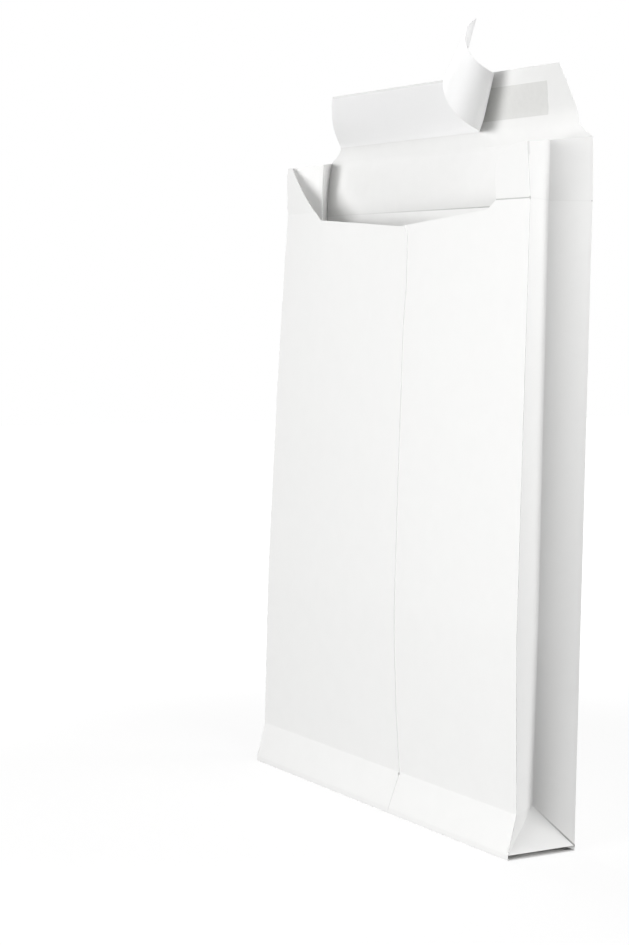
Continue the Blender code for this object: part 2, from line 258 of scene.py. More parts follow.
def backY(side, z):
    # back side edge: straight up, then swinging by the square of the height above the top crease
    rise = np.maximum(z - body["topCrease"], 0) / body["backRise"]
    return body["depth"] / 2 + (body["rightSwing"] if side > 0 else body["leftSwing"]) * rise ** 2


def halfDepth(side, z):
    # Pythagoras: a half of the gusset is always as wide as its paper
    return np.sqrt(body["gussetHalf"] ** 2 - pushedIn(side, z) ** 2)


def frontY(side, z):
    # front side edge; below the low crease a straight line to the foot
    low = body["lowCrease"]
    upper = backY(side, np.maximum(z, low)) - 2 * halfDepth(side, np.maximum(z, low))
    share = np.clip((z - body["slit"]) / (low - body["slit"]), 0, 1)
    foot = -body["depth"] / 2
    return np.where(z >= low, upper, foot + (upper - foot) * share)


def paperWave(x, z, seed):
    # a sum of crossing sine ripples; cos^2 across the width and an easing up the panel hold it at
    # nothing along the side edges, the low crease and the top
    across = np.cos(np.pi * x / body["width"]) ** 2
    first, last = body["waveEase"]
    upward = eased((z - body["lowCrease"]) / first) * eased((body["topCrease"] - z) / last)
    ripples = 0
    for wide, high, phase, share in body["ripples"]:
        ripples = ripples + share * np.sin(x / wide + z / high + phase * seed)
    return body["wave"] * across * upward * ripples


def frontSheet(flatX, z):
    # front panel: level from the right edge to the seam, then easing over to the left edge,
    # with the outer half standing proud of the seam
    moved = np.interp(z, mouth["seamHeights"], mouth["seamPlaces"]) - mouth["seamX"]
    x = flatX + moved * (1 - eased(np.abs(flatX - mouth["seamX"]) / mouth["seamReach"]))
    share = eased((mouth["seamX"] - flatX) / (mouth["seamX"] + body["width"] / 2))
    y = frontY(1, z) + (frontY(-1, z) - frontY(1, z)) * share
    proud = np.clip(1 - (mouth["seamX"] - flatX) / mouth["seamEase"], 0, 1)
    proud = proud * (flatX <= mouth["seamX"]) * np.clip(z / body["lowCrease"], 0, 1)
    y = y - mouth["seamStep"] * proud + paperWave(x, z, body["frontPhase"])
    return np.stack([x, y, z], -1)


def backSheet(x, z):
    # back panel: straight across between its side edges; above the top crease it bows forward by
    # (1 - e^(-rise / bulgeRise)) (1 - rise) upwards and by a parabola from side to side
    share = x / body["width"] + 0.5
    y = backY(-1, z) + (backY(1, z) - backY(-1, z)) * share
    rise = np.clip((z - body["topCrease"]) / body["backRise"], 0, 1)
    bow = (1 - np.exp(-rise / body["bulgeRise"])) * (1 - rise) * (1 - (2 * x / body["width"]) ** 2)
    return np.stack([x, y - body["backBulge"] * bow + paperWave(x, z, body["backPhase"]), z], -1)


def earInner(side):
    # x of an ear's inner edge
    return side * (body["width"] / 2 - mouth["rightEar" if side > 0 else "leftEar"])


def throatHeight(x):
    # top edge of the front panel: level under the ears, short slants, then two lines to the middle
    side = np.where(x > mouth["throatX"], 1, -1)
    inner = np.where(side > 0, earInner(1), earInner(-1))
    corner = inner - side * mouth["cornerRun"]
    slant = -mouth["cornerDrop"] * np.clip((inner - x) / (inner - corner), 0, 1)
    rise = (x - mouth["throatX"]) / (corner - mouth["throatX"])
    middle = -mouth["throatDip"] + (mouth["throatDip"] - mouth["cornerDrop"]) * rise
    return body["topCrease"] + np.where(np.abs(x) > np.abs(corner), slant, middle)


def earTop(side, reach):
    # right ear: a straight inner edge, then (1 - share^p)^(1/p) round its corner, where p is
    # earRound; left ear: a level top, then (1 - share)^leftHollow
    if side > 0:
        share = np.clip(reach / mouth["rightEar"], 0, 1) ** mouth["earRound"]
        corner = (mouth["earHeight"] - mouth["earBody"]) * (1 - share) ** (1 / mouth["earRound"])
        return mouth["earBody"] + corner
    share = np.clip((reach - mouth["leftTop"]) / (mouth["leftEar"] - mouth["leftTop"]), 0, 1)
    return mouth["earHeight"] * (1 - share) ** mouth["leftHollow"]


def edgeRound(kind, z):
    # radius of a long fold: it eases up from none at the fold's foot, and the back fold eases
    # down to none again below the flap
    if kind == "centre":
        return body["foldRadius"] * eased((z - body["lowCrease"]) / body["centreEase"])
    radius = body["foldRadius"] * eased((z - body["slit"]) / body["footEase"])
    if kind == "front":
        return radius
    return radius * eased((body["topCrease"] + body["backRise"] - z) / body["flapEase"])


# how finely the grids are divided
earColumns = 22
throatColumns = 40
rightColumns = 22
bodyRows = 60
earRows = 14
bandRows = 8
halfColumns = 10
foldColumns = 4
baseColumns = 6
tuckColumns = 8
tuckRows = 4
neckRows = 14
flapRows = 24
seamColumns = np.array([-0.35, 0, 0.12, 0.5])       # mm from the seam, close so that its step is steep
levelColumns = np.array([3, 1.5, 0])                # mm from the side edge, on the left ear's level top

# places of the columns: closer towards the right ear's rounded corner, even on the left ear
rightReach = mouth["rightEar"] * np.sin(np.linspace(math.pi / 2, 0, earColumns + 1))
leftReach = np.append(np.linspace(mouth["leftEar"], mouth["leftTop"], earColumns - 2), levelColumns)
leftEarX = -(body["width"] / 2 - leftReach)[::-1]
rightEarX = body["width"] / 2 - rightReach
cornerLeft = earInner(-1) + mouth["cornerRun"]
cornerRight = earInner(1) - mouth["cornerRun"]
throatX = np.concatenate([
    np.linspace(cornerLeft, mouth["throatX"], throatColumns + 1),
    mouth["seamX"] + seamColumns[:-1],
    np.linspace(mouth["seamX"] + seamColumns[-1], cornerRight, rightColumns + 1),
])
frontX = np.concatenate([leftEarX, throatX, rightEarX])


def insideFolds(flatX, z, kind):
    # the outermost columns stop where the long folds begin to turn
    limit = body["width"] / 2 - edgeRound(kind, z)
    return np.clip(flatX, -limit, limit)


def panels():
    # front and back panels from the low crease up, a row for each height
    share = np.linspace(0, 1, bodyRows + 1)[:, None]
    low = body["lowCrease"]
    heights = low + share * (throatHeight(frontX)[None] - low)
    front = frontSheet(insideFolds(frontX[None], heights, "front"), heights)
    backX = frontX[::-1][None]
    backHeights = low + share * (body["topCrease"] - low) + 0 * backX
    back = backSheet(insideFolds(backX, backHeights, "back"), backHeights)
    return [front, back]


def ears():
    # a panel of its own from the top crease to the edge of each ear
    made = []
    share = np.linspace(0, 1, earRows + 1)[:, None]
    for side, earX in ((1, rightEarX), (-1, leftEarX)):
        reach = body["width"] / 2 - np.abs(earX)
        heights = body["topCrease"] + share * earTop(side, reach)[None]
        made.append(frontSheet(insideFolds(earX[None], heights, "front"), heights))
    return made


def sideEdges(side, frontZ, centreZ, backZ):
    # the three folds of a gusset, each at its own heights
    x = side * body["width"] / 2 + 0 * frontZ
    front = np.stack([x, frontY(side, frontZ), frontZ], -1)
    centreX = x - side * pushedIn(side, centreZ)
    centre = np.stack([centreX, backY(side, centreZ) - halfDepth(side, centreZ), centreZ], -1)
    back = np.stack([x, backY(side, backZ), backZ], -1)
    return front, centre, back


def swollen(grid, amount, away):
    # a half of the gusset swells outwards like a half sine from fold to fold
    s = np.linspace(0, 1, grid.shape[1])[None, :, None]
    return grid + amount[:, None, None] * np.sin(np.pi * s) * away[:, None]


def upperGusset(side):
    # gusset from the low crease up: as high as the ear at its front fold, as the back panel at its
    # back fold, and halfway between them at the centre fold
    share = np.linspace(0, 1, bodyRows + 1)
    main = body["lowCrease"] + share * (body["topCrease"] - body["lowCrease"])
    above = np.linspace(0, 1, earRows + 1)[1:]
    rise = (mouth["earHeight"] + body["backRise"]) / 2
    frontZ = np.concatenate([main, body["topCrease"] + above * mouth["earHeight"]])
    centreZ = np.concatenate([main, body["topCrease"] + above * rise])
    backZ = np.concatenate([main, body["topCrease"] + above * body["backRise"]])
    front, centre, back = sideEdges(side, frontZ, centreZ, backZ)
    return foldedRows(side, front, centre, back, frontZ, centreZ, backZ)


def foldedRows(side, front, centre, back, frontZ, centreZ, backZ):
    # one strip for each rounded fold and one for each half, all with the same rows
    roundFront = edgeRound("front", frontZ)[:, None]
    roundCentre = edgeRound("centre", centreZ)[:, None]
    roundBack = edgeRound("back", backZ)[:, None]
    inwards = np.array([[-side, 0, 0]])
    first, second = towards(front, centre), towards(centre, back)
    upright = np.array([[0, 0, 1]])
    awayFirst = np.cross(first, upright) * side
    awaySecond = np.cross(second, upright) * side
    fade = eased((centreZ - body["lowCrease"]) / body["bulgeEase"])
    shares = np.linspace(0, 1, halfColumns + 1)
    frontHalf = along(front + first * roundFront, centre - first * roundCentre, shares)
    rearHalf = along(centre + second * roundCentre, back - second * roundBack, shares)
    return [
        roundFold(front + inwards * roundFront, front, front + first * roundFront, foldColumns),
        swollen(frontHalf, body["frontHalfBulge"] * fade, awayFirst),
        roundFold(centre - first * roundCentre, centre, centre + second * roundCentre, foldColumns),
        swollen(rearHalf, body["rearHalfBulge"] * fade, awaySecond),
        roundFold(back - second * roundBack, back, back + inwards * roundBack, foldColumns),
    ]


def bandShares():
    # shares of the height from the pocket to the low crease, with a short first row for the lip
    lip = body["lipHeight"] / (body["lowCrease"] - body["slit"])
    return np.concatenate([[0], np.linspace(lip, 1, bandRows)])


def bandHeights():
    # those shares as heights
    return body["slit"] + bandShares() * (body["lowCrease"] - body["slit"])


def blockBands():
    # front and back of the block bottom, with the base between them
    heights = np.concatenate([[0], bandHeights()])[:, None] + 0 * frontX[None]
    front = frontSheet(insideFolds(frontX[None], heights, "front"), heights)
    backX = frontX[::-1][None] + 0 * heights
    back = backSheet(insideFolds(backX, heights, "back"), heights)
    base = along(back[0][::-1], front[0], np.linspace(0, 1, baseColumns + 1)).transpose(1, 0, 2)
    return [front, back, base]


def gussetEnd(side):
    # the folded end: two leaning triangles beside the end triangle, and the tuck folded in below
    heights = bandHeights()
    t = bandShares()[:, None]
    front, _, back = sideEdges(side, heights, heights, heights)
    low = np.array([body["lowCrease"]])
    apex = sideEdges(side, low, low, low)[1]
    frontLine = front[:1] * (1 - t) + apex * t
    backLine = back[:1] * (1 - t) + apex * t
    inwards = np.array([[-side, 0, 0]])
    roundFront = edgeRound("front", heights)[:, None]
    roundBack = edgeRound("back", heights)[:, None]
    first, second = towards(front, frontLine), towards(backLine, back)
    shares = np.linspace(0, 1, halfColumns + 1)
    span = np.linalg.norm(back[0] - front[0])
    inset = body["tuckInset"] / span
    endShares = np.concatenate([[0], np.linspace(inset, 1 - inset, tuckColumns + 1), [1]])
    end = along(frontLine, backLine, endShares)
    end[0, 1:-1, 0] += side * body["lip"]
    outer = end[0, 1:-1]
    across = towards(front[:1], back[:1])
    lean = np.linspace(1, -1, len(outer))[:, None]
    sink = np.array([[-side * body["tuckLength"], 0, -body["tuckSink"]]])
    inner = outer + sink + across * body["tuckLength"] * lean
    tuck = along(outer, inner, np.linspace(0, 1, tuckRows + 1)).transpose(1, 0, 2)[:, ::-1]
    return [
        roundFold(front + inwards * roundFront, front, front + first * roundFront, foldColumns),
        along(front + first * roundFront, frontLine, shares),
        end,
        along(backLine, back - second * roundBack, shares),
        roundFold(back - second * roundBack, back, back + inwards * roundBack, foldColumns),
    ], tuck


def flapHalf(height):
    # half width of the flap: shoulders that flare by (1 - height / neck)^neckFlare, then straight
    # sides that lean in
    flare = np.clip(1 - height / flap["neck"], 0, 1) ** flap["neckFlare"]
    neck = flap["neckHalf"] + (body["width"] / 2 - flap["neckHalf"]) * flare
    beyond = np.maximum(height - flap["neck"], 0) / flap["height"]
    return neck + (flap["topHalf"] - flap["neckHalf"]) * beyond


def flapLine(height):
    # side view of the flap: upright, an arc through the lean, then straight; gives y and z
    bend, lean = flap["neckBend"], flap["lean"]
    radius = bend / lean
    root = body["topCrease"] + body["backRise"]
    start = flap["outerY"] + radius * (1 - math.cos(lean))
    angle = np.clip((height - flap["neck"] + bend) / radius, 0, lean)
    beyond = np.maximum(height - flap["neck"], 0)
    y = start - radius * (1 - np.cos(angle)) - beyond * math.sin(lean)
    z = root + np.minimum(height, flap["neck"] - bend) + radius * np.sin(angle) + beyond * math.cos(lean)
    return y, z


def flapBow(x, height):
    # half sine up the flap times the square of the distance left of the middle
    share = np.clip(height / flap["height"], 0, 1)
    return flap["bow"] * np.sin(np.pi * share) * np.clip(-x / flap["topHalf"], 0, 1) ** 2


def rootShift(x, height):
    # the flap starts on the swung line of the back panel and eases back onto its own plane
    share = np.clip(x / flapHalf(height), -1, 1)
    top = body["topCrease"] + body["backRise"]
    root = backY(-1, top) + (backY(1, top) - backY(-1, top)) * (share + 1) / 2
    return (root - flapLine(np.zeros(1))[0]) * (1 - eased(height / flap["settle"]))


def flapDimple(x, height):
    # a slanting bell-shaped dent where the release strip pulls at the flap
    wide, high = flap["dimpleSize"]
    above = height - flap["dimpleHeight"]
    u, v = (x - flap["dimpleX"] + above * flap["dimpleSlant"]) / wide, above / high
    return flap["dimple"] * np.exp(-u * u - v * v)


def flapSheet():
    # columns at equal shares of the flap's width, carried up its side view, then the bow, the dent
    # and the swing of its root
    neck = flap["neck"]
    above = np.linspace(neck, neck + flap["height"], flapRows + 1)[1:]
    heights = np.append(np.linspace(0, neck, neckRows + 1), above)[:, None]
    share = 2 * frontX[::-1][None] / body["width"]
    x = share * flapHalf(heights)
    y, z = flapLine(heights)
    out = flapBow(x, heights - neck) + flapDimple(x, heights - neck)
    y = y + rootShift(x, heights) - out * math.cos(flap["lean"])
    z = z - out * math.sin(flap["lean"])
    return np.stack([x, y, z + 0 * x], -1)


def upperBack():
    # band of the back panel between the top crease and the flap
    share = np.linspace(0, 1, earRows + 1)[:, None]
    heights = body["topCrease"] + share * body["backRise"] + 0 * frontX[None]
    return backSheet(insideFolds(frontX[::-1][None] + 0 * heights, heights, "back"), heights)


def envelopeGrids():
    # all grids of the sheet; those of the left side are turned over, so that they face outwards
    grids = panels() + ears() + blockBands() + [upperBack(), flapSheet()]
    for side in (1, -1):
        ends, tuck = gussetEnd(side)
        strips = upperGusset(side) + ends + [tuck]
        grids += strips if side > 0 else [strip[:, ::-1] for strip in strips]
    return grids


# Materials of the three pieces.

paperLook = {
    "colour": "F6F6F5",
    "cloud": "F3F3F2",
    "cloudSize": 9.0,           # mm; the cloudy look-through of the sheet
    # the inner side: a greyer copy of the paper, painted shade for the inside of the pocket
    "insideShadeColour": "F2F2F1",
    "insideShadeCloud": "EEEEED",
    "edgeShadeColour": "C8C8C7",     # painted shade in the crevices by the front side edges, and on the lap's step, whose cut edge is partly its own grey
    "seamShadeShare": 0.42,           # how much of that colour the lap has
    "sideShadeShare": 0.5,            # and the front side edges
    # grey of the painted shade in the score's groove
    "creaseShadeColour": "BDBDBC",
    "creaseDepth": 0.10,        # mm
    "creaseLine": (0.0001, 0.0004),             # m from its middle; full line, none
    "creaseFade": (-0.08, 0.03, 0.12),          # m; faint at the first x, full at the second; least share
    "panelMiddle": 0.00155,     # m; halfway between the front and back panels
    "panelStart": (0.0168, 0.0173, 0.08),       # m from there; share of the line on the gussets
    "shadeDots": (
        (0.1145, -0.01605, 0.2974),             # m; painted shade of the small nick where two scores meet
        (0.0191, -0.0151, 0.0198),              # m; painted shade where the seam's edge crosses the low crease
    ),
    "shadeDotSize": (0.0004, 0.0010),                # m from its middle; full dot, none
    "gapShadowColour": "6E6E6D",
    "gap": ((0.1040, 0.0021, 0.0207), (0.1145, 0.0190, 0.0023)),    # m; painted shadow in the gap beside the triangle
    "gapLine": (0.0002, 0.0006, 0.75),          # m from its middle; full line, none; how dark
    "gapFade": (0.0200, 0.0060),                # m; none at the first height, full at the second
    "fibre": 0.5,               # mm; real fibres are about 0.02 mm, drawn coarse enough to show
    "fibreDepth": 0.012,        # mm
    "relief": 0.35,
    "roughness": (0.57, 0.70),
    "specular": 0.3,
    "ior": 1.47,
}


def bleachedKraft(name, colour, cloudColour):
    # bleached kraft, machine finished: matt white, faintly cloudy, soft felt side without gloss;
    # the inner side is a greyer copy of it, painted shade for the inside of the pocket; the scored
    # creases hold a thin line of painted shade
    made, tree, shader = newMaterial(name)
    place = addNode(tree, "ShaderNodeTexCoord").outputs["Object"]
    axes = addNode(tree, "ShaderNodeSeparateXYZ", links={0: place})
    cloud = addNode(tree, "ShaderNodeTexNoise",
                    values={"Scale": 1 / (paperLook["cloudSize"] * mm), "Detail": 3.0, "Roughness": 0.6},
                    links={"Vector": place})
    tinted = addNode(tree, "ShaderNodeMix", {"data_type": "RGBA"},
                     {6: hexToLinear(colour), 7: hexToLinear(cloudColour)}, {0: cloud.outputs["Fac"]})
    # the score's line of painted shade: full and none at set distances from the height of the top crease
    apart = addNode(tree, "ShaderNodeMath", {"operation": "SUBTRACT"}, {1: body["topCrease"] * mm},
                    {0: axes.outputs["Z"]})
    apart = addNode(tree, "ShaderNodeMath", {"operation": "ABSOLUTE"}, links={0: apart.outputs[0]})
    full, none = paperLook["creaseLine"]
    line = addNode(tree, "ShaderNodeMapRange", {"interpolation_type": "SMOOTHSTEP"},
                   {"From Min": full, "From Max": none, "To Min": 1.0, "To Max": 0.0},
                   {"Value": apart.outputs[0]})
    # it shows on the ear and the back panel, less towards the left, and hardly on the gusset
    faint, strong, least = paperLook["creaseFade"]
    fade = addNode(tree, "ShaderNodeMapRange", {},
                   {"From Min": faint, "From Max": strong, "To Min": least, "To Max": 1.0},
                   {"Value": axes.outputs["X"]})
    middle = addNode(tree, "ShaderNodeMath", {"operation": "SUBTRACT"}, {1: paperLook["panelMiddle"]},
                     {0: axes.outputs["Y"]})
    middle = addNode(tree, "ShaderNodeMath", {"operation": "ABSOLUTE"}, links={0: middle.outputs[0]})
    gusset, panel, share = paperLook["panelStart"]
    onPanel = addNode(tree, "ShaderNodeMapRange", {},
                      {"From Min": gusset, "From Max": panel, "To Min": share, "To Max": 1.0},
                      {"Value": middle.outputs[0]})
    strength = addNode(tree, "ShaderNodeMath", {"operation": "MULTIPLY"},
                       links={0: fade.outputs[0], 1: onPanel.outputs[0]})
    strength = addNode(tree, "ShaderNodeMath", {"operation": "MULTIPLY"},
                       links={0: line.outputs[0], 1: strength.outputs[0]})
    full, none = paperLook["shadeDotSize"]
    for spot in paperLook["shadeDots"]:
        away = addNode(tree, "ShaderNodeVectorMath", {"operation": "DISTANCE"}, {1: spot}, {0: place})
        dot = addNode(tree, "ShaderNodeMapRange", {},
                      {"From Min": full, "From Max": none, "To Min": 1.0, "To Max": 0.0},
                      {"Value": away.outputs["Value"]})
        strength = addNode(tree, "ShaderNodeMath", {"operation": "MAXIMUM"},
                           links={0: strength.outputs[0], 1: dot.outputs[0]})
    # painted shadow in the gap beside the triangle, by the distance from a straight line: length of
    # (place - start) x direction
    start, end = (Vector(spot) for spot in paperLook["gap"])
    arm = addNode(tree, "ShaderNodeVectorMath", {"operation": "SUBTRACT"}, {1: start}, {0: place})
    reach = addNode(tree, "ShaderNodeVectorMath", {"operation": "CROSS_PRODUCT"},
                    {1: (end - start).normalized()}, {0: arm.outputs[0]})
    reach = addNode(tree, "ShaderNodeVectorMath", {"operation": "LENGTH"}, links={0: reach.outputs[0]})
    full, none, dark = paperLook["gapLine"]
    shade = addNode(tree, "ShaderNodeMapRange", {},
                    {"From Min": full, "From Max": none, "To Min": dark, "To Max": 0.0},
                    {"Value": reach.outputs["Value"]})
    none, full = paperLook["gapFade"]
    below = addNode(tree, "ShaderNodeMapRange", {},
                    {"From Min": none, "From Max": full, "To Min": 0.0, "To Max": 1.0},
                    {"Value": axes.outputs["Z"]})
    shade = addNode(tree, "ShaderNodeMath", {"operation": "MULTIPLY"},
                    links={0: shade.outputs[0], 1: below.outputs[0]})
    # each painted shade goes over the one before: the score and dots, the gap's shadow, the shaded edges
    edge = addNode(tree, "ShaderNodeAttribute", {"attribute_name": "edge"})
    for amount, tint in ((strength.outputs[0], "creaseShadeColour"), (shade.outputs[0], "gapShadowColour"),
                         (edge.outputs["Fac"], "edgeShadeColour")):
        tinted = addNode(tree, "ShaderNodeMix", {"data_type": "RGBA"}, {7: hexToLinear(paperLook[tint])},
                         {0: amount, 6: tinted.outputs[2]})
    tree.links.new(tinted.outputs[2], shader.inputs["Base Color"])
    fibre = addNode(tree, "ShaderNodeTexNoise",
                    values={"Scale": 1 / (paperLook["fibre"] * mm), "Detail": 4.0, "Roughness": 0.65},
                    links={"Vector": place})
    # height in fibre depths: the fibres less the score
    height = addNode(tree, "ShaderNodeMath", {"operation": "MULTIPLY_ADD"},
                     {1: -paperLook["creaseDepth"] / paperLook["fibreDepth"]},
                     {0: strength.outputs[0], 2: fibre.outputs["Fac"]})
    roughen(tree, shader, paperLook, paperLook["fibreDepth"], height.outputs[0], fibre.outputs["Fac"])
    shader.inputs["IOR"].default_value = paperLook["ior"]
    shader.inputs["Specular IOR Level"].default_value = paperLook["specular"]
    return made


def markEdges(mesh):
    # attribute for the material: a share of the painted shade on the step of the lap, where x lies just
    # beyond the seam's line, and on the front side edges, where x is nearly half the full width
    places = np.empty(len(mesh.vertices) * 3)
    mesh.vertices.foreach_get("co", places)
    x, y, z = places.reshape(-1, 3).T / mm
    beyond = x - np.interp(z, mouth["seamHeights"], mouth["seamPlaces"])
    start, end, foot = mouth["seamMark"]
    onSeam = (beyond > start) & (beyond < end) & (y < 0) & (z > foot)
    inwards, foot = mouth["sideMark"]
    onSide = (np.abs(x) > body["width"] / 2 - inwards) & (y < 0) & (z > body["slit"] + foot)
    share = paperLook["seamShadeShare"] * onSeam + paperLook["sideShadeShare"] * onSide
    mark = mesh.attributes.new("edge", "FLOAT", "POINT")
    mark.data.foreach_set("value", share.astype(np.float32))


glueLook = {
    "colour": "E4E4E2",
    "shade": "DADAD8",
    "blotch": 3.2,              # mm; patches left by the strip as it came off
    "depth": 0.03,              # mm
    "relief": 0.5,
    "roughness": (0.30, 0.50),
}


def glueFilm():
    # rubber based hot melt on paper: a greyish satin film, mottled where the strip came off it
    made, tree, shader = newMaterial("hotMeltGlueFilm")
    place = addNode(tree, "ShaderNodeTexCoord").outputs["Object"]
    blotch = addNode(tree, "ShaderNodeTexNoise",
                     values={"Scale": 1 / (glueLook["blotch"] * mm), "Detail": 5.0, "Roughness": 0.7,
                             "Distortion": 0.6},
                     links={"Vector": place}).outputs["Fac"]
    base = addNode(tree, "ShaderNodeMix", {"data_type": "RGBA"},
                   {6: hexToLinear(glueLook["colour"]), 7: hexToLinear(glueLook["shade"])}, {0: blotch})
    tree.links.new(base.outputs[2], shader.inputs["Base Color"])
    roughen(tree, shader, glueLook, glueLook["depth"], blotch, blotch)
    return made


stripLook = {
    "colour": "FDFDFD",
    "shade": "F9F9F9",
    "grain": 0.7,               # mm; the real grain is finer, drawn coarse enough to show
    "depth": 0.006,             # mm
    "relief": 0.3,
    "roughness": (0.38, 0.48),
    "seeThrough": 0.25,         # mm that light travels in it
    "seeThroughShare": 0.45,
}


def releasePaper():
    # silicone coated release paper: calendered, a little whiter and smoother than the envelope,
    # and thin enough to let some light through
    made, tree, shader = newMaterial("siliconeReleasePaper")
    shader.inputs["Subsurface Weight"].default_value = stripLook["seeThroughShare"]
    shader.inputs["Subsurface Radius"].default_value = (1, 1, 1)
    shader.inputs["Subsurface Scale"].default_value = stripLook["seeThrough"] * mm
    place = addNode(tree, "ShaderNodeTexCoord").outputs["Object"]
    grain = addNode(tree, "ShaderNodeTexNoise",
                    values={"Scale": 1 / (stripLook["grain"] * mm), "Detail": 3.0},
                    links={"Vector": place}).outputs["Fac"]
    base = addNode(tree, "ShaderNodeMix", {"data_type": "RGBA"},
                   {6: hexToLinear(stripLook["colour"]), 7: hexToLinear(stripLook["shade"])}, {0: grain})
    tree.links.new(base.outputs[2], shader.inputs["Base Color"])
    roughen(tree, shader, stripLook, stripLook["depth"], grain, grain)
    return made


creases = (body["lowCrease"], body["topCrease"])
skins = [
    bleachedKraft("bleachedKraftPaper", paperLook["colour"], paperLook["cloud"]),
    # the inner skin is a greyer copy of the paper: painted shade for the inside of the pocket
    bleachedKraft("bleachedKraftInsideShaded", paperLook["insideShadeColour"], paperLook["insideShadeCloud"]),
]
envelope = sheetObject("envelopeSheet", envelopeGrids(), skins, body["paper"], body["sharp"], creases)
markEdges(envelope.data)


# Glue strip on the flap.

glue = {
    "low": 3.7,                 # lower edge, above the flap's neck
    "width": 15.8,
    "halfLength": 83.3,
    "slant": 2.5,               # how far each end slants off its middle
    "thickness": 0.1,
    "stand": 0.01,              # clearance from the paper
    "sharp": 40,                # degrees from which an edge counts as sharp
    "rows": 12,
    "columns": 60,
}


def onFlap(x, height, lift):
    # a place above the inner face of the flap: across, up from the neck, and off the paper
    out = lift + body["paper"] + flapBow(x, height)
    y, z = flapLine(flap["neck"] + 0 * height)
    y = y + rootShift(x, flap["neck"] + height)
    y = y - height * math.sin(flap["lean"]) - out * math.cos(flap["lean"])
    z = z + height * math.cos(flap["lean"]) - out * math.sin(flap["lean"])
    return np.stack([x + 0 * y, y, z], -1)


def glueGrid():
    # a plate that follows the flap, with slanting ends
    rise = np.linspace(0, 1, glue["rows"] + 1)[:, None]
    reach = glue["halfLength"] + glue["slant"] * (2 * rise - 1)
    x = reach * np.linspace(-1, 1, glue["columns"] + 1)[None]
    return onFlap(x, glue["low"] + rise * glue["width"] + 0 * x, glue["thickness"] + glue["stand"])


glueStrip = sheetObject("glueStrip", [glueGrid()], [glueFilm()], glue["thickness"], glue["sharp"])


# Release strip over the glue, with its peeled tail.

strip = {
    "thickness": 0.12,
    "low": -0.8,                # lower edge, above the flap's neck
    "width": 26.5,
    "inset": 0.3,               # from the flap's left edge
    "stand": 0.05,              # clearance from the glue
    "sharp": 40,                # degrees from which an edge counts as sharp
    "lip": 0.12,                # how far the lower edge stands off, below the glue
    "lipHeight": 2.5,
    "tail": 100.2,              # right end, before it was peeled
    "peelX": 35.3,              # where its middle line leaves the glue
    "roll": 1.66,               # radius of the first bend
    "turn": math.radians(46),   # and its angle
    "slants": (49.7, 59.8, 73.3, 96.0),         # degrees, from the first fold line to the free end
    "curlLength": 62.0,
    "curl": (-1.612, 5.146, 7.874, 6.076, 4.526, 2.48, 2.48),   # radians per curl length
    "rollBends": 10,
    "curlBends": 90,
    "fineReach": 2.2,           # lengths of the first bend over which the columns are fine
    "rows": 30,
    "lyingColumns": 40,
    "fineColumns": 20,
    "looseColumns": 120,
}


def peelBends():
    # where each bend crosses the middle line, how its line slants and how far it turns
    roll = strip["roll"] * strip["turn"]
    first = (np.arange(strip["rollBends"]) + 0.5) / strip["rollBends"] * roll
    edges = np.linspace(roll, strip["curlLength"], strip["curlBends"] + 1)
    rest = (edges[1:] + edges[:-1]) / 2
    spots = np.linspace(roll, strip["curlLength"], len(strip["curl"]))
    rollTurns = np.full(strip["rollBends"], strip["turn"] / strip["rollBends"])
    restTurns = np.interp(rest, spots, strip["curl"]) * (edges[1] - edges[0]) / strip["curlLength"]
    middles = np.concatenate([first, rest])
    slants = np.radians(np.interp(middles, np.linspace(0, strip["curlLength"], 4), strip["slants"]))
    middles = middles / math.sin(math.radians(strip["slants"][0]))
    return middles, slants, np.concatenate([rollTurns, restTurns])


def peeled(flat):
    # each bend turns all that lies beyond its line about that line, the last bend first
    places = flat.copy()
    for middle, slant, turn in list(zip(*peelBends()))[::-1]:
        origin = np.array([strip["peelX"] + middle, 0, 0])
        axis = np.array([math.cos(slant), math.sin(slant), 0])
        across = np.array([math.sin(slant), -math.cos(slant), 0])
        arm = places - origin
        turned = arm * math.cos(turn) - np.cross(axis, arm) * math.sin(turn)
        turned += axis * (arm @ axis)[..., None] * (1 - math.cos(turn))
        places = np.where(((flat - origin) @ across > 0)[..., None], origin + turned, places)
    return places


def stripGrid():
    # a flat plate from the flap's left edge to the tail, with a column on the slanting fold line,
    # rolled up by the bends and then laid on the flap
    up = np.linspace(-strip["width"] / 2, strip["width"] / 2, strip["rows"] + 1)[:, None]
    fold = strip["peelX"] + up / math.tan(math.radians(strip["slants"][0]))
    height = strip["low"] + strip["width"] / 2 + up
    left = strip["inset"] - flapHalf(flap["neck"] + np.maximum(height, 0))
    lying = left + (fold - left) * np.linspace(0, 1, strip["lyingColumns"] + 1)[None, :-1]
    roll = strip["fineReach"] * strip["roll"] * strip["turn"] / (strip["tail"] - strip["peelX"])
    fine = np.linspace(0, roll, strip["fineColumns"] + 1)
    shares = np.append(fine, np.linspace(roll, 1, strip["looseColumns"] + 1)[1:])[None]
    loose = fold + shares * (strip["tail"] - fold)
    x = np.concatenate([lying, loose], 1)
    bent = peeled(np.stack([x, up + 0 * x, 0 * x], -1))
    lift = strip["thickness"] + glue["thickness"] + strip["stand"]
    lift = lift + strip["lip"] * (1 - eased((height - strip["low"]) / strip["lipHeight"])) * (x <= fold)
    return onFlap(bent[..., 0], strip["low"] + strip["width"] / 2 + bent[..., 1], lift + bent[..., 2])


coating = [releasePaper()]
releaseStrip = sheetObject("releaseStrip", [stripGrid()], coating, strip["thickness"], strip["sharp"])

for piece, node, slot in (
    (envelope, "envelope_body", "envelope_paper"),
    (glueStrip, "adhesive_strip", "glue_film"),
    (releaseStrip, "release_liner", "release_paper"),
):
    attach(piece, "root")
    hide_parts(node)
print("three pieces ride on the root")


# Floor, light and camera.

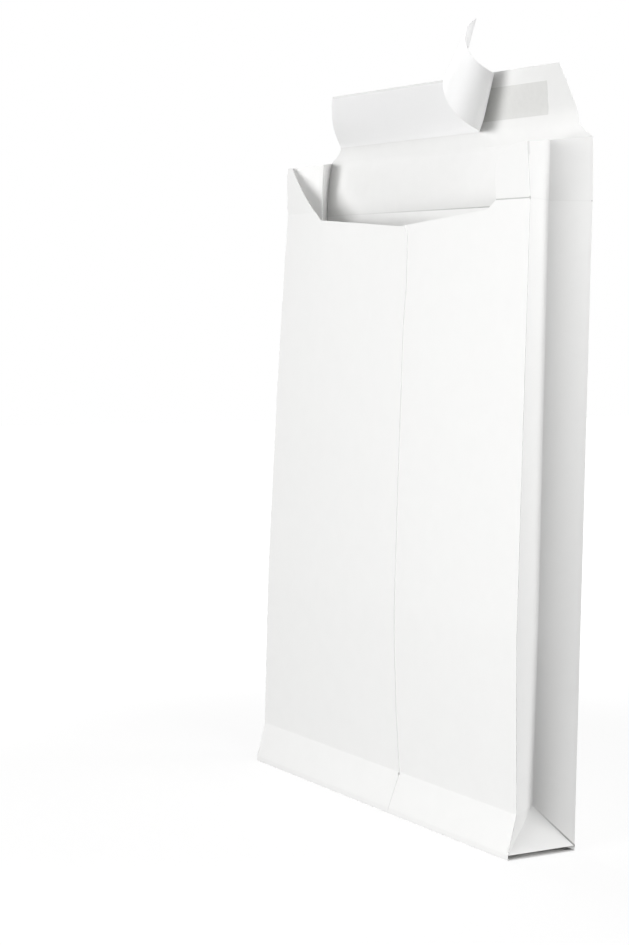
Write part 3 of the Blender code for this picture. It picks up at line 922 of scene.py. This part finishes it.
studio = {
    "floorHalf": 3.0,           # m
    "floorDrop": 0.0001,        # m below the envelope
    "floorColour": "757575",
    "floorGlow": (0.82, 1.0),   # near the envelope and far from it
    "glowReach": (0.20, 0.60),  # m, where that change starts and ends
    "ambient": 0.30,
    "middle": 0.17,             # m; height of the point that the lamps face
}

# compass degrees from the right gusset towards the back, degrees up, metres away, watts,
# metres wide and high
lamps = {
    "keyLamp": (-77, 5.5, 1.2, 11.2, 0.78, 0.54),   # front panel; the rear half of the gusset is shaded
    "rightLamp": (-5, 46, 0.64, 1.12, 0.3, 0.3),    # close by the right gusset, fades downwards
    "sideLamp": (63, 3, 1.4, 11.4, 0.5, 0.4),       # front half of the right gusset, and the back
    "leftLamp": (178, 10, 1.6, 8.0, 0.5, 0.5),      # the left gusset
}


def paleFloor():
    # matt studio paper; what the camera sees of it is lifted to white, its shadow stays
    made, tree, shader = newMaterial("studioPaperFloor")
    shader.inputs["Base Color"].default_value = hexToLinear(studio["floorColour"])
    shader.inputs["Roughness"].default_value = 0.9
    shader.inputs["Specular IOR Level"].default_value = 0.1
    rays = addNode(tree, "ShaderNodeLightPath")
    seen = addNode(tree, "ShaderNodeMath", {"operation": "MAXIMUM"},
                   links={0: rays.outputs["Is Camera Ray"], 1: rays.outputs["Is Glossy Ray"]})
    place = addNode(tree, "ShaderNodeTexCoord").outputs["Object"]
    distance = addNode(tree, "ShaderNodeVectorMath", {"operation": "LENGTH"}, links={0: place})
    (near, far), (start, end) = studio["floorGlow"], studio["glowReach"]
    lift = addNode(tree, "ShaderNodeMapRange", {"interpolation_type": "SMOOTHSTEP"},
                   {"From Min": start, "From Max": end, "To Min": near, "To Max": far},
                   {"Value": distance.outputs["Value"]})
    glow = addNode(tree, "ShaderNodeMath", {"operation": "MULTIPLY"},
                   links={0: seen.outputs[0], 1: lift.outputs[0]})
    shader.inputs["Emission Color"].default_value = (1, 1, 1, 1)
    tree.links.new(glow.outputs[0], shader.inputs["Emission Strength"])
    return made


def addFloor():
    # a square, a hair below the envelope
    half = studio["floorHalf"]
    corners = np.array([[-half, -half, 0], [half, -half, 0], [half, half, 0], [-half, half, 0]])
    corners[:, 2] = -studio["floorDrop"]
    mesh = bpy.data.meshes.new("floor")
    mesh.from_pydata(corners.tolist(), [], [[0, 1, 2, 3]])
    mesh.materials.append(paleFloor())
    floor = bpy.data.objects.new("floor", mesh)
    bpy.context.scene.collection.objects.link(floor)


def addLamp(name, compass, rise, reach, power, width, height):
    # oval soft lamp on a sphere about the middle of the envelope, turned towards it
    compass, rise = math.radians(compass), math.radians(rise)
    middle = Vector((0, 0, studio["middle"]))
    level = math.cos(rise)
    arm = Vector((math.cos(compass) * level, math.sin(compass) * level, math.sin(rise)))
    data = bpy.data.lights.new(name, "AREA")
    data.energy = power
    data.shape = "ELLIPSE"
    data.size = width
    data.size_y = height
    lamp = bpy.data.objects.new(name, data)
    lamp.location = middle + arm * reach
    lamp.rotation_euler = (-arm).to_track_quat("-Z", "Y").to_euler()
    bpy.context.scene.collection.objects.link(lamp)


def addWorld():
    # an even white room; the camera sees plain white
    world = bpy.data.worlds.new("whiteRoom")
    world.use_nodes = True
    tree = world.node_tree
    rays = addNode(tree, "ShaderNodeLightPath")
    seen = addNode(tree, "ShaderNodeMath", {"operation": "MAXIMUM"},
                   links={0: rays.outputs["Is Camera Ray"], 1: rays.outputs["Is Glossy Ray"]})
    level = addNode(tree, "ShaderNodeMapRange", {}, {"To Min": studio["ambient"], "To Max": 1.0},
                    {"Value": seen.outputs[0]})
    background = tree.nodes["Background"]
    background.inputs["Color"].default_value = (1, 1, 1, 1)
    tree.links.new(level.outputs[0], background.inputs["Strength"])
    bpy.context.scene.world = world


view = {
    "place": (0.8333, -0.56105, 0.2461),        # m
    "azimuth": 58.74,           # degrees round from the front panel towards the right gusset
    "pitch": 4.58,              # degrees down
    "roll": 1.0,                # degrees
    "lens": 77.02,              # mm on a 36 mm frame, along the photograph's long side
}


def addCamera():
    # axes of a camera that looks back along the view direction, then rolled about it
    azimuth, pitch, roll = (math.radians(view[key]) for key in ("azimuth", "pitch", "roll"))
    level = math.cos(pitch)
    back = Vector((math.sin(azimuth) * level, -math.cos(azimuth) * level, math.sin(pitch)))
    right = (-back).cross(Vector((0, 0, 1))).normalized()
    up = right.cross(-back)
    rolledRight = right * math.cos(roll) + up * math.sin(roll)
    rolledUp = up * math.cos(roll) - right * math.sin(roll)
    data = bpy.data.cameras.new("camera")
    data.lens = view["lens"]
    data.sensor_width = 36
    data.sensor_fit = "AUTO"
    data.clip_start = 0.01
    camera = bpy.data.objects.new("camera", data)
    turn = Matrix((rolledRight, rolledUp, back)).transposed().to_4x4()
    camera.matrix_world = Matrix.Translation(view["place"]) @ turn
    bpy.context.scene.collection.objects.link(camera)
    bpy.context.scene.camera = camera


addFloor()
addWorld()
for name, values in lamps.items():
    addLamp(name, *values)
addCamera()
bpy.context.scene.view_settings.view_transform = "Standard"
print("floor, light and camera are in")
